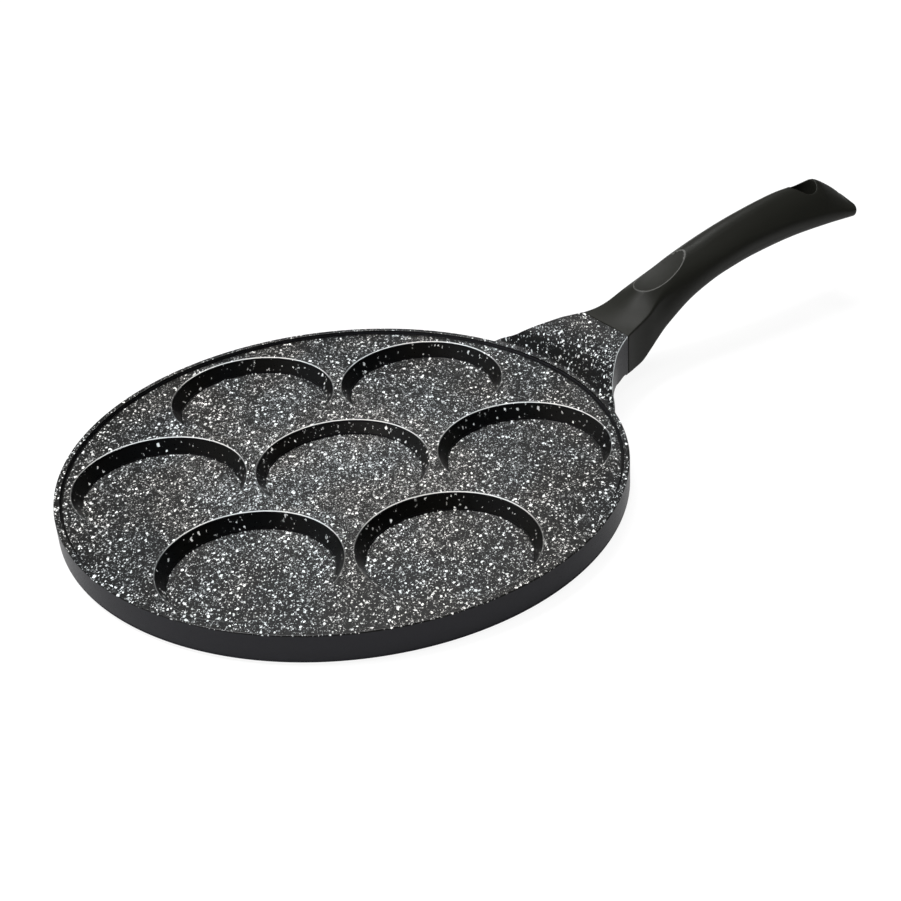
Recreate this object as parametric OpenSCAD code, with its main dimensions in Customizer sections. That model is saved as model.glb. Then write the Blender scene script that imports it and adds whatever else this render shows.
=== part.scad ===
// Blini pan: a cast plate with seven shallow wells, a cast lug and a moulded handle.
// Millimetres. The origin is the middle of the base, +X runs to the handle, +Z is up.

/* [Pan] */
// Outside diameter of the cast plate
pan_d = 265; // [240:1:290]
// Height of the rim above the table
pan_h = 14.8; // [12:0.1:18]
// Width of the flat band on the rim
rim_w = 3; // [2:0.5:5]
// Step from the rim down to the deck
deck_drop = 2; // [1:0.25:3]
// Radius of the two edges of the rim band
rim_round = 0.6; // [0.4:0.1:0.9]
// Radius at the foot of the outer wall
foot_round = 3; // [0.5:0.25:3.5]

/* [Wells] */
// Number of wells round the middle one
well_count = 6; // [5:1:7]
// Land between the outer wells and the rim
well_land = 4.3; // [3:0.1:8]
// Land between two neighbouring wells
well_gap = 4.5; // [3:0.1:8]
// Depth of the outer wells below the deck
well_depth = 7.7; // [4:0.1:8]
// Depth of the middle well below the deck
middle_depth = 6.4; // [4:0.1:8]
// How far a well's wall leans in between deck and floor
well_lean = 3.5; // [1.5:0.25:5]
// Radius of the lip of a well
lip_round = 0.8; // [0.4:0.1:1.2]
// Radius between the wall and the floor of a well
floor_round = 0.8; // [0.5:0.1:2]

/* [Underside] */
// Number of turned grooves in the base
groove_count = 7; // [3:1:9]
// Width of a turned groove
groove_w = 2; // [1:0.25:4]
// Depth of a turned groove
groove_depth = 0.5; // [0.2:0.1:0.8]
// Plain flat left in the middle of the base
groove_clear_r = 30; // [20:1:40]
// Plain flat left along the edge of the base
groove_edge = 18; // [10:1:30]

/* [Lug] */
// Reach of the lug from the wall to the handle
lug_reach = 25.5; // [22:0.5:34]
// Width of the lug where it leaves the rim
lug_root_w = 94; // [70:1:110]
// Width of lug and handle at the seam
seam_w = 36; // [32:0.5:42]
// Height of lug and handle at the seam
seam_h = 21.8; // [20:0.1:24]
// Height of the lug's underside above the table
lug_clear = 9.2; // [8:0.1:12]
// Radius along the edges of the lug
lug_round = 1.2; // [0.6:0.1:2]

/* [Handle] */
// Length of the handle from the seam to its end
handle_l = 163.5; // [140:0.5:200]
// How far the grip stands above the seam
handle_rise = 37.8; // [25:0.2:50]
// Width of the handle at its neck
neck_w = 26.8; // [24:0.2:30]
// Width of the handle at its end
end_w = 32.8; // [28:0.2:44]
// Radius of the nose at the handle's end
nose_round = 2.4; // [1:0.1:2.8]
// Length of the slope that runs down to the nose
nose_slope_l = 20; // [12:0.5:26]

/* [Thumb rest] */
// Radius of the round scoop for the thumb
thumb_r = 53; // [46:0.5:60]
// Lowest point of the scoop, measured from the seam
thumb_reach = 17.9; // [16:0.1:24]
// Height of that point above the top of the seam
thumb_lift = 11.8; // [11:0.1:14]

/* [Hanging hole] */
// Width of the hanging hole
hang_w = 13.6; // [10:0.2:15]
// Length of the hanging hole from its point to its round end
hang_l = 16; // [15.5:0.25:20]
// Distance from the round end of the hole to the handle's end
hang_edge = 19.8; // [16:0.1:26]

/* [Fastening] */
// Length of the cast tenon inside the handle
tenon_l = 20; // [18:0.5:22]
// Width of the tenon
tenon_w = 18; // [14:0.5:20]
// Height of the tenon
tenon_h = 10; // [8:0.25:11]
// Slope of the tenon, which follows the neck, in degrees
tenon_tilt = 16; // [12:1:18]
// Clearance all round the tenon in its socket
tenon_fit = 0.25; // [0.15:0.05:0.4]
// Gap between lug and handle at the seam
seam_gap = 0.2; // [0.1:0.05:0.4]
// Thread diameter of the handle screw
screw_d = 5; // [4:0.5:5]
// Diameter of the screw's head
screw_head_d = 9; // [8:0.25:10]
// Height of the screw's head
screw_head_h = 2.5; // [2:0.1:2.8]
// Outside diameter of the washer under the head
washer_d = 9.6; // [9:0.2:10]
// Thickness of the washer
washer_h = 0.8; // [0.5:0.1:1]
// Wall of the handle between the tenon and the washer
screw_wall = 2.6; // [2:0.1:3]
// Clearance round screw, washer and head
screw_fit = 0.3; // [0.2:0.05:0.5]

/* [Hidden] */
$fn = 96;
eps = 0.01;

pan_r = pan_d / 2;
deck_z = pan_h - deck_drop;
rim_in_r = pan_r - rim_w;
well_field_r = rim_in_r - well_land;
well_step = sin(180 / well_count);
well_r = (2 * well_field_r * well_step - well_gap) / (2 * (1 + well_step));
well_ring_r = well_field_r - well_r;
middle_r = well_ring_r - well_r - well_gap;
well_turn = 180 / well_count;

seam_x = pan_r + lug_reach;
seam_top = lug_clear + seam_h;
handle_x0 = seam_x + seam_gap;
handle_end_x = handle_x0 + handle_l;
slope_x0 = handle_end_x - nose_slope_l;

// The tenon starts a little inside the lug, so that the two are one casting
tenon_root = 1;
tenon_chamfer = 1.5;
tenon_mid_z = lug_clear + seam_h / 2;
screw_pos = tenon_l * 0.55;
// Distances down the screw's axis, from the middle of the tenon
washer_seat = tenon_h / 2 + tenon_fit + screw_wall;
head_seat = washer_seat + washer_h;
screw_tip = tenon_h / 2 - 1;
drive_w = 1.6;
drive_l = 5.4;
drive_depth = 1.5;
// How far cutters run on past the surfaces that they open
past = 14;

// Smooth curve through a list of [place, value] points
function knot_slope(p, i) =
    let (a = max(i - 1, 0), b = min(i + 1, len(p) - 1))
    (p[b][1] - p[a][1]) / (p[b][0] - p[a][0]);
function knot_before(p, x, i = 0) =
    i >= len(p) - 2 || x < p[i + 1][0] ? i : knot_before(p, x, i + 1);
function smooth(p, x) =
    let (i = knot_before(p, x), w = p[i + 1][0] - p[i][0], t = (x - p[i][0]) / w)
    let (m0 = knot_slope(p, i) * w, m1 = knot_slope(p, i + 1) * w)
    let (d = p[i + 1][1] - p[i][1])
    p[i][1] + m0 * t + (3 * d - 2 * m0 - m1) * t ^ 2 + (m0 + m1 - 2 * d) * t ^ 3;

// Rounded corner of a section: a curve that leaves both edges at the setback r
corner_steps = 6;
function corner(a, p, b, r) =
    let (s = p + (a - p) * min(r / norm(a - p), 0.48), e = p + (b - p) * min(r / norm(b - p), 0.48))
    [for (i = [0:corner_steps - 1]) let (t = i / (corner_steps - 1))
        (1 - t) ^ 2 * s + 2 * t * (1 - t) * p + t ^ 2 * e];

// Solid skin over a row of rings that all have the same number of points
function middle(ring) = [for (k = [0:2]) (min([for (p = ring) p[k]]) + max([for (p = ring) p[k]])) / 2];
module skin(rings) {
    m = len(rings[0]);
    n = len(rings);
    first = n * m;
    last = first + 1;
    sides = [for (i = [0:n - 2], j = [0:m - 1], k = [0, 1])
        let (a = i * m + j, b = i * m + (j + 1) % m)
        k == 0 ? [b, a + m, a] : [b + m, a + m, b]];
    start = [for (j = [0:m - 1]) [first, (j + 1) % m, j]];
    end = [for (j = [0:m - 1]) [last, (n - 1) * m + j, (n - 1) * m + (j + 1) % m]];
    points = concat([for (r = rings) each r], [middle(rings[0]), middle(rings[n - 1])]);
    polyhedron(points, concat(sides, start, end), convexity = 10);
}

// Cast plate with its rim, its turned base and its rounded edges, as one turned profile
function arc(c, r, a0, a1, steps) =
    [for (i = [0:steps]) let (a = a0 + (a1 - a0) * i / steps) c + r * [cos(a), sin(a)]];
module plate_profile() {
    edge_steps = 6;
    polygon(concat(
        [[0, 0]],
        arc([pan_r - foot_round, foot_round], foot_round, -90, 0, edge_steps),
        arc([pan_r - rim_round, pan_h - rim_round], rim_round, 0, 90, edge_steps),
        arc([rim_in_r + rim_round, pan_h - rim_round], rim_round, 90, 180, edge_steps),
        [[rim_in_r, deck_z], [0, deck_z]]));
}

// Round cutter for one well: lip radius, leaning wall, floor radius, flat floor
module well(r, depth) {
    lip_steps = 5;
    lean = atan(well_lean / depth);
    floor_r = r - well_lean;
    floor_arc = arc([floor_r - floor_round, floor_round], floor_round, -90, lean, lip_steps);
    lip_arc = arc([r + lip_round, depth - lip_round], lip_round, 180 + lean, 90, lip_steps);
    top = depth + deck_drop;
    translate([0, 0, deck_z - depth])
        rotate_extrude($fn = 180)
            polygon(concat([[0, 0]], floor_arc, lip_arc, [[r + lip_round, top], [0, top]]));
}
module wells() {
    well(middle_r, middle_depth);
    for (i = [0:well_count - 1])
        rotate(well_turn + i * 360 / well_count)
            translate([well_ring_r, 0, 0])
                well(well_r, well_depth);
}
module grooves() {
    pitch = (pan_r - groove_edge - groove_clear_r) / groove_count;
    for (i = [0:groove_count - 1])
        rotate_extrude($fn = 180)
            translate([groove_clear_r + (i + 0.5) * pitch, 0])
                polygon([[-groove_w / 2 - eps, -eps], [groove_w / 2 + eps, -eps],
                    [groove_w / 4, groove_depth], [-groove_w / 4, groove_depth]]);
}

// Lug: half width along X, top and underside by distance from the middle of the pan
lug_x0 = pan_r * 0.9;
lug_w_line = [[-0.5, 1.12], [-0.3, 1], [-0.06, 0.7], [0.1, 0.55], [0.26, 0.42], [0.45, 0.28],
    [0.68, 0.155], [1, 0]];
lug_top_line = [[-0.12, -0.25], [-0.035, -0.005], [0, 0.02], [0.08, 0.2], [0.2, 0.46], [0.4, 0.71],
    [0.65, 0.9], [1, 1]];
lug_under_line = [[-0.12, 0.2], [0, 0], [0.12, -0.15], [0.3, -0.35], [0.45, -0.3], [0.62, -0.17],
    [0.8, -0.16], [0.92, -0.12], [1, 0], [1.1, 0]];
function lug_half(x) =
    seam_w / 2 + (lug_root_w - seam_w) / 2 * smooth(lug_w_line, (x - pan_r) / lug_reach);
function lug_top(r) =
    pan_h + (seam_top - pan_h) * smooth(lug_top_line, max((r - pan_r) / lug_reach, -0.12));
function lug_under(r) =
    lug_clear * (1 - smooth(lug_under_line, max((r - pan_r) / lug_reach, -0.12)));
function lug_ring(x, inset) =
    let (w = lug_half(x) - inset, e = lug_round, inner = w - e, flat = 12, turn = 4)
    let (zt = lug_top(norm([x, inner])) - inset, zb = lug_under(norm([x, inner])) + inset)
    concat(
        [for (i = [1:flat - 1]) let (y = inner * (2 * i / flat - 1))
            [x, y, lug_top(norm([x, y])) - inset]],
        [for (i = [0:turn]) let (a = 90 * i / turn) [x, inner + e * sin(a), zt - e + e * cos(a)]],
        [for (i = [0:turn]) let (a = 90 * i / turn) [x, inner + e * cos(a), zb + e - e * sin(a)]],
        [for (i = [1:flat - 1]) let (y = inner * (1 - 2 * i / flat))
            [x, y, lug_under(norm([x, y])) + inset]],
        [for (i = [0:turn]) let (a = 90 * i / turn) [x, -inner - e * sin(a), zb + e - e * cos(a)]],
        [for (i = [0:turn]) let (a = 90 * i / turn) [x, -inner - e * cos(a), zt - e + e * sin(a)]]);
module lug() {
    steps = 20;
    break_edge = 0.4;
    reach = seam_x - break_edge - lug_x0;
    skin(concat(
        [for (i = [0:steps]) lug_ring(lug_x0 + reach * i / steps, 0)],
        [lug_ring(seam_x - break_edge * 0.3, break_edge * 0.3), lug_ring(seam_x, break_edge)]));
}

// Places on the handle are shares of its length, rise and width
ridge_line = [[0, 0], [0.04, 0.068], [0.075, 0.148], [0.11, 0.264], [0.15, 0.437], [0.185, 0.515],
    [0.26, 0.623], [0.33, 0.694], [0.46, 0.836], [0.6, 0.935], [0.72, 0.991], [0.82, 0.99], [1, 1.027]];
belly_line = [[0, 0], [0.03, 0], [0.075, 0.033], [0.11, 0.131], [0.165, 0.291], [0.225, 0.445],
    [0.3, 0.622], [0.39, 0.763], [0.47, 0.839], [0.56, 0.902], [0.72, 0.963], [0.87, 0.965],
    [1, 0.943]];
side_height_line = [[0, 0.5], [0.1, 0.46], [0.18, 0.36], [0.33, 0.42], [0.55, 0.46], [0.8, 0.32],
    [1, 0.19]];
flare_in_line = [[0, 1], [0.037, 0.619], [0.073, 0.389], [0.11, 0.26], [0.147, 0.117], [0.19, 0], [1, 0]];
flare_out_line = [[0, 0], [0.19, 0], [0.38, 0.17], [0.56, 0.39], [0.8, 0.75], [1, 1]];
shoulder_width_line = [[0, 1], [0.11, 0.965], [0.185, 0.846], [0.33, 0.782], [0.46, 0.7], [0.64, 0.6],
    [1, 0.56]];
shoulder_height_line = [[0, 0.98], [0.037, 0.869], [0.075, 0.763], [0.11, 0.646], [0.147, 0.538],
    [0.185, 0.529], [0.26, 0.455], [0.33, 0.45], [0.46, 0.42], [0.64, 0.54], [0.85, 0.62], [1, 0.46]];
belly_width_line = [[0, 1], [0.11, 0.982], [0.26, 0.89], [0.64, 0.867], [1, 0.912]];
// Setbacks of the section's corners in millimetres
ridge_round_line = [[0, 6], [0.15, 5], [0.4, 6], [0.7, 4.5], [1, 4]];
shoulder_round_line = [[0, 1], [0.12, 1.3], [0.2, 3], [0.35, 6], [0.6, 6.5], [1, 5]];
side_round_line = [[0, 4], [0.2, 3.5], [1, 2.5]];
belly_round_line = [[0, 1.2], [0.1, 2.5], [0.3, 5], [1, 4.5]];
// What the slope at the end leaves of the gable's height
nose_line = [[0, 1], [0.12, 0.953], [0.45, 0.714], [0.8, 0.446], [1, 0.249]];

// One section of the handle at x, drawn in by inset
function handle_ring(x, inset) =
    let (u = (x - handle_x0) / handle_l)
    let (w = neck_w / 2 + (seam_w - neck_w) / 2 * smooth(flare_in_line, u)
        + (end_w - neck_w) / 2 * smooth(flare_out_line, u) - inset)
    let (low = lug_clear + handle_rise * smooth(belly_line, u) + inset)
    let (high = seam_top + handle_rise * smooth(ridge_line, u) - inset)
    let (side = low + (high - low) * smooth(side_height_line, u))
    let (gable = (high - side) * nose_share(x))
    let (sw = w * smooth(shoulder_width_line, u), sz = side + gable * smooth(shoulder_height_line, u))
    let (bw = w * smooth(belly_width_line, u))
    let (p = [[0, side + gable], [sw, sz], [w, side], [bw, low], [-bw, low], [-w, side], [-sw, sz]])
    let (k = [for (line = [ridge_round_line, shoulder_round_line, side_round_line, belly_round_line])
        smooth(line, u)])
    let (r = [k[0], k[1], k[2], k[3], k[3], k[2], k[1]])
    [for (i = [0:6]) each [for (q = corner(p[(i + 6) % 7], p[i], p[(i + 1) % 7], r[i])) [x, q[0], q[1]]]];
function nose_share(x) = x < slope_x0 ? 1 : smooth(nose_line, (x - slope_x0) / nose_slope_l);

module handle_form() {
    seam_edge = 0.4;
    neck_steps = 22;
    grip_steps = 20;
    slope_steps = 12;
    nose_steps = 6;
    neck_x = handle_x0 + handle_l * 0.34;
    nose_x = handle_end_x - nose_round;
    start = [for (a = [0, 45]) [handle_x0 + seam_edge * (1 - cos(a)), seam_edge * (1 - sin(a))]];
    neck = [for (i = [0:neck_steps - 1])
        [handle_x0 + seam_edge + (neck_x - handle_x0 - seam_edge) * i / neck_steps, 0]];
    grip = [for (i = [0:grip_steps - 1]) [neck_x + (slope_x0 - neck_x) * i / grip_steps, 0]];
    slope = [for (i = [0:slope_steps - 1]) [slope_x0 + (nose_x - slope_x0) * i / slope_steps, 0]];
    nose = [for (i = [0:nose_steps]) let (a = 85 * i / nose_steps)
        [nose_x + nose_round * sin(a), nose_round * (1 - cos(a))]];
    skin([for (s = concat(start, neck, grip, slope, nose)) handle_ring(s[0], s[1])]);
}

// Frame of the tenon: X runs along it, and the screw comes up from below
module at_tenon() {
    translate([seam_x, 0, tenon_mid_z])
        rotate([0, -tenon_tilt, 0])
            children();
}
module tenon_shape(grow, length) {
    w = tenon_w / 2 + grow;
    h = tenon_h / 2 + grow;
    c = tenon_chamfer;
    rotate([90, 0, 90])
        linear_extrude(length)
            polygon([[-w + c, -h], [w - c, -h], [w, -h + c], [w, h - c],
                [w - c, h], [-w + c, h], [-w, h - c], [-w, -h + c]]);
}
module down_screw(from, to, d) {
    translate([screw_pos, 0, -to])
        cylinder(h = to - from, d = d, $fn = 48);
}

// Teardrop outline of the hanging hole, with its point towards the pan
module hang_outline() {
    r = hang_w / 2;
    reach = hang_l - r;
    open = acos(r / reach);
    steps = 24;
    translate([handle_end_x - hang_edge - r, 0])
        polygon(concat(
            [for (i = [0:steps]) let (a = -180 + open + (360 - 2 * open) * i / steps) r * [cos(a), sin(a)]],
            [[-reach, 0]]));
}

module pan_body() {
    color([0.16, 0.165, 0.17])
        difference() {
            union() {
                rotate_extrude($fn = 240) plate_profile();
                lug();
                at_tenon() translate([-tenon_root, 0, 0]) tenon_shape(0, tenon_l + tenon_root);
            }
            wells();
            grooves();
            at_tenon() down_screw(-screw_tip - 0.5, tenon_h / 2 + 1, screw_d);
        }
}

module handle() {
    color([0.06, 0.06, 0.062])
        difference() {
            handle_form();
            at_tenon() translate([-1, 0, 0]) tenon_shape(tenon_fit, tenon_l + tenon_fit + 1);
            at_tenon() down_screw(0, washer_seat + 1, screw_d + 2 * screw_fit);
            at_tenon() down_screw(washer_seat, washer_seat + past, washer_d + 2 * screw_fit);
            translate([handle_x0 + thumb_reach, 0, seam_top + thumb_lift + thumb_r])
                sphere(r = thumb_r, $fn = 180);
            linear_extrude(seam_top + handle_rise + past) hang_outline();
        }
}

module handle_screw() {
    color([0.72, 0.73, 0.74])
        at_tenon()
            difference() {
                union() {
                    down_screw(-screw_tip, head_seat + eps, screw_d);
                    down_screw(head_seat, head_seat + screw_head_h, screw_head_d);
                }
                for (turn = [0, 90])
                    translate([screw_pos, 0, -head_seat - screw_head_h + drive_depth / 2 - eps])
                        rotate(turn)
                            cube([drive_l, drive_w, drive_depth], center = true);
            }
}

module screw_washer() {
    color([0.66, 0.67, 0.68])
        at_tenon()
            difference() {
                down_screw(washer_seat, head_seat, washer_d);
                down_screw(washer_seat - 1, head_seat + 1, screw_d + screw_fit);
            }
}

pan_body();
handle();
handle_screw();
screw_washer();
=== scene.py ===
# Blini pan: a cast plate with seven wells and a lug, a moulded handle, its screw and washer.
# Lengths are in millimetres while a mesh is made, and turn to metres when it is finished.
import math
import bpy
import bmesh
import numpy as np
from mathutils import Matrix, Vector
from mathutils.geometry import delaunay_2d_cdt

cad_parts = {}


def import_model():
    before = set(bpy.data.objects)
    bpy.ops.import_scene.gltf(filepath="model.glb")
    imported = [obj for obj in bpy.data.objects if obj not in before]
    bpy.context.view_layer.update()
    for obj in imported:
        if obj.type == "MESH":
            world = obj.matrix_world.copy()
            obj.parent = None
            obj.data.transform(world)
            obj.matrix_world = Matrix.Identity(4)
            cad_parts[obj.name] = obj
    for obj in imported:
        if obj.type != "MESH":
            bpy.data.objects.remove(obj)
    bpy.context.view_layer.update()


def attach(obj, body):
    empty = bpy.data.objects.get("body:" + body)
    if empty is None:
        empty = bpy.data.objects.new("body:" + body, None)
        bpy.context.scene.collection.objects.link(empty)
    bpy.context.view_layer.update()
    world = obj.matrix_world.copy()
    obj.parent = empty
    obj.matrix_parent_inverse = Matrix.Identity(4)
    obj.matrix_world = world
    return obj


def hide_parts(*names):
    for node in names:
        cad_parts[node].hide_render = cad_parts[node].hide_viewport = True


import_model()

MM = 0.001
BODY = "root"

# Plate
PAN_R = 132.5
PAN_H = 14.8
RIM_W = 3.0
DECK_DROP = 2.0
RIM_ROUND = 0.6
STEP_ROUND = 0.4
FOOT_ROUND = 3.0
DECK_Z = PAN_H - DECK_DROP
RIM_IN_R = PAN_R - RIM_W

# Wells
WELL_COUNT = 6
WELL_LAND = 4.3
WELL_GAP = 4.5
WELL_DEPTH = 7.7
MIDDLE_DEPTH = 6.4
WELL_LEAN = 3.5
LIP_ROUND = 0.8
FLOOR_ROUND = 0.8
WELL_STEP = math.sin(math.pi / WELL_COUNT)
WELL_FIELD_R = RIM_IN_R - WELL_LAND
WELL_R = (2 * WELL_FIELD_R * WELL_STEP - WELL_GAP) / (2 * (1 + WELL_STEP))
WELL_RING_R = WELL_FIELD_R - WELL_R
MIDDLE_R = WELL_RING_R - WELL_R - WELL_GAP

# Turned base
GROOVE_COUNT = 7
GROOVE_W = 2.0
GROOVE_DEPTH = 0.5
GROOVE_CLEAR_R = 30.0
GROOVE_EDGE = 18.0

# Lug
LUG_REACH = 25.5
LUG_ROOT_W = 94.0
SEAM_W = 36.0
SEAM_H = 21.8
LUG_CLEAR = 9.2
LUG_ROUND = 1.2
LUG_START_X = PAN_R * 0.9
LUG_LINE_START = -0.12
SEAM_X = PAN_R + LUG_REACH
SEAM_TOP = LUG_CLEAR + SEAM_H

# Handle
HANDLE_L = 163.5
HANDLE_RISE = 37.8
NECK_W = 26.8
END_W = 32.8
NOSE_ROUND = 2.4
NOSE_SLOPE_L = 20.0
SEAM_GAP = 0.2
SEAM_EDGE = 0.4
HANDLE_X0 = SEAM_X + SEAM_GAP
HANDLE_END_X = HANDLE_X0 + HANDLE_L
SLOPE_X0 = HANDLE_END_X - NOSE_SLOPE_L
NOSE_X = HANDLE_END_X - NOSE_ROUND

# Thumb scoop: a ball taken out of the neck, with its edge softened over SCOOP_EDGE
THUMB_R = 53.0
THUMB_X = HANDLE_X0 + 17.9
THUMB_Z = SEAM_TOP + 11.8 + THUMB_R
SCOOP_EDGE = 0.22

# Hanging hole, and the heights between which it is cut
HANG_W = 13.6
HANG_L = 16.0
HANG_EDGE = 19.8
HANG_RIM = 1.0
HANG_X = HANDLE_END_X - HANG_EDGE - HANG_W / 2
HANG_CUT_LOW = 30.0
HANG_CUT_HIGH = 90.0

# Fastening
TENON_L = 20.0
TENON_W = 18.0
TENON_H = 10.0
TENON_TILT = math.radians(16)
TENON_FIT = 0.25
TENON_CHAMFER = 1.5
TENON_ROOT = 1.0
SCREW_POS = TENON_L * 0.55
SCREW_D = 5.0
SCREW_FIT = 0.3
HEAD_D = 9.0
HEAD_H = 2.5
WASHER_D = 9.6
WASHER_H = 0.8
WASHER_EDGE = 0.15
SEAT_WALL = 2.6
WASHER_SEAT = TENON_H / 2 + TENON_FIT + SEAT_WALL
HEAD_SEAT = WASHER_SEAT + WASHER_H
SCREW_TIP = TENON_H / 2 - 1
TAP_PAST_TIP = 0.5
CUT_PAST = 1.0
RECESS_CUT = 14.0

# Screw's thread, tip, domed head and cross drive
THREAD_PITCH = 0.8
THREAD_DEPTH = 0.22
CREST_INSET = 0.02
TIP_CHAMFER_W = 0.6
TIP_CHAMFER_L = 0.5
DOME_W = 0.9 * 1.8
DOME_H = 0.9 * 1.5
DRIVE_MOUTH = (-0.4, 2.75, 0.62)    # depth, half length and half width of a bar of the cross
DRIVE_BOTTOM = (1.6, 1.5, 0.45)

# Lines along the lug and the handle: places and values are shares, as in the solids
LUG_W_LINE = [(-0.5, 1.12), (-0.3, 1), (-0.06, 0.7), (0.1, 0.55), (0.26, 0.42), (0.45, 0.28),
              (0.68, 0.155), (1, 0)]
LUG_TOP_LINE = [(-0.12, -0.25), (-0.035, -0.005), (0, 0.02), (0.08, 0.2), (0.2, 0.46),
                (0.4, 0.71), (0.65, 0.9), (1, 1)]
LUG_UNDER_LINE = [(-0.12, 0.2), (0, 0), (0.12, -0.15), (0.3, -0.35), (0.45, -0.3),
                  (0.62, -0.17), (0.8, -0.16), (0.92, -0.12), (1, 0), (1.1, 0)]
RIDGE_LINE = [(0, 0), (0.04, 0.068), (0.075, 0.148), (0.11, 0.264), (0.15, 0.437),
              (0.185, 0.515), (0.26, 0.623), (0.33, 0.694), (0.46, 0.836), (0.6, 0.935),
              (0.72, 0.991), (0.82, 0.99), (1, 1.027)]
BELLY_LINE = [(0, 0), (0.03, 0), (0.075, 0.033), (0.11, 0.131), (0.165, 0.291), (0.225, 0.445),
              (0.3, 0.622), (0.39, 0.763), (0.47, 0.839), (0.56, 0.902), (0.72, 0.963),
              (0.87, 0.965), (1, 0.943)]
SIDE_HEIGHT_LINE = [(0, 0.5), (0.1, 0.46), (0.18, 0.36), (0.33, 0.42), (0.55, 0.46),
                    (0.8, 0.32), (1, 0.19)]
FLARE_IN_LINE = [(0, 1), (0.037, 0.619), (0.073, 0.389), (0.11, 0.26), (0.147, 0.117),
                 (0.19, 0), (1, 0)]
FLARE_OUT_LINE = [(0, 0), (0.19, 0), (0.38, 0.17), (0.56, 0.39), (0.8, 0.75), (1, 1)]
SHOULDER_WIDTH_LINE = [(0, 1), (0.11, 0.965), (0.185, 0.846), (0.33, 0.782), (0.46, 0.7),
                       (0.64, 0.6), (1, 0.56)]
SHOULDER_HEIGHT_LINE = [(0, 0.98), (0.037, 0.869), (0.075, 0.763), (0.11, 0.646),
                        (0.147, 0.538), (0.185, 0.529), (0.26, 0.455), (0.33, 0.45),
                        (0.46, 0.42), (0.64, 0.54), (0.85, 0.62), (1, 0.46)]
BELLY_WIDTH_LINE = [(0, 1), (0.11, 0.982), (0.26, 0.89), (0.64, 0.867), (1, 0.912)]
RIDGE_ROUND_LINE = [(0, 6), (0.15, 5), (0.4, 6), (0.7, 4.5), (1, 4)]
SHOULDER_ROUND_LINE = [(0, 1), (0.12, 1.3), (0.2, 3), (0.35, 6), (0.6, 6.5), (1, 5)]
SIDE_ROUND_LINE = [(0, 4), (0.2, 3.5), (1, 2.5)]
BELLY_ROUND_LINE = [(0, 1.2), (0.1, 2.5), (0.3, 5), (1, 4.5)]
NOSE_LINE = [(0, 1), (0.12, 0.953), (0.45, 0.714), (0.8, 0.446), (1, 0.249)]

# Fineness of the meshes
PAN_STEPS = 360
WELL_STEPS = 216
FOOT_STEPS = 14
ROUND_STEPS = 8
CREASE_STEPS = 6
LUG_SECTIONS = 90
LUG_FLAT_STEPS = 40
HANDLE_TOP_STEPS = 30
HANDLE_SIDE_STEPS = 8
SCREW_STEPS = 96
# Stretches of the handle up to the nose: start, stop and pitch of the sections. The second is
# the scoop and the last is the end with the hanging hole.
HANDLE_STRETCHES = [(HANDLE_X0 + SEAM_EDGE, 176, 0.8), (176, 216, 0.5), (216, 282, 1.5),
                    (282, NOSE_X, 0.6)]
SHARP_ANGLE = math.radians(38.0)


# Curves and meshes

def smooth(points, x):
    """Smooth curve through a list of (place, value) points."""
    i = 0
    while i < len(points) - 2 and x >= points[i + 1][0]:
        i += 1

    def slope(k):
        a, b = points[max(k - 1, 0)], points[min(k + 1, len(points) - 1)]
        return (b[1] - a[1]) / (b[0] - a[0])

    (x0, v0), (x1, v1) = points[i], points[i + 1]
    width = x1 - x0
    t, d = (x - x0) / width, v1 - v0
    m0, m1 = slope(i) * width, slope(i + 1) * width
    return v0 + m0 * t + (3 * d - 2 * m0 - m1) * t ** 2 + (m0 + m1 - 2 * d) * t ** 3


def corner(a, p, b, setback):
    """Rounded corner of a section: a curve that leaves both edges at the setback."""
    a, p, b = (np.array(v, float) for v in (a, p, b))
    s = p + (a - p) * min(setback / np.linalg.norm(a - p), 0.48)
    e = p + (b - p) * min(setback / np.linalg.norm(b - p), 0.48)
    return [(1 - t) ** 2 * s + 2 * t * (1 - t) * p + t ** 2 * e
            for t in np.linspace(0, 1, ROUND_STEPS)]


def between(a, b, count):
    """Evenly spaced points from a to b, without the two of them."""
    a, b = np.array(a), np.array(b)
    return [tuple(a + (b - a) * t) for t in np.linspace(0, 1, count + 2)[1:-1]]


def arc(cx, cy, r, start, stop, steps=ROUND_STEPS):
    """Points of a circular arc, angles in degrees."""
    return [(cx + r * math.cos(math.radians(a)), cy + r * math.sin(math.radians(a)))
            for a in np.linspace(start, stop, steps + 1)]


def new_object(name, verts, faces):
    mesh = bpy.data.meshes.new(name)
    mesh.from_pydata([tuple(float(c) for c in v) for v in verts], [], faces)
    obj = bpy.data.objects.new(name, mesh)
    bpy.context.scene.collection.objects.link(obj)
    return obj


def weld(obj, distance=0.0005):
    """Joins the points that meet and turns every face outwards."""
    bm = bmesh.new()
    bm.from_mesh(obj.data)
    bmesh.ops.remove_doubles(bm, verts=bm.verts, dist=distance)
    bmesh.ops.recalc_face_normals(bm, faces=bm.faces)
    bm.to_mesh(obj.data)
    bm.free()
    return obj


def loft(name, rings):
    """Closed skin over rings of equal length, with a fan at each end."""
    m, n = len(rings[0]), len(rings)
    verts = [p for ring in rings for p in ring]
    faces = []
    for i in range(n - 1):
        for j in range(m):
            k = (j + 1) % m
            faces.append((i * m + j, i * m + k, (i + 1) * m + k, (i + 1) * m + j))
    for ring, base in ((rings[0], 0), (rings[-1], (n - 1) * m)):
        verts.append(tuple(np.mean([np.min(ring, axis=0), np.max(ring, axis=0)], axis=0)))
        hub = len(verts) - 1
        faces += [(hub, base + j, base + (j + 1) % m) for j in range(m)]
    return weld(new_object(name, verts, faces))


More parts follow.
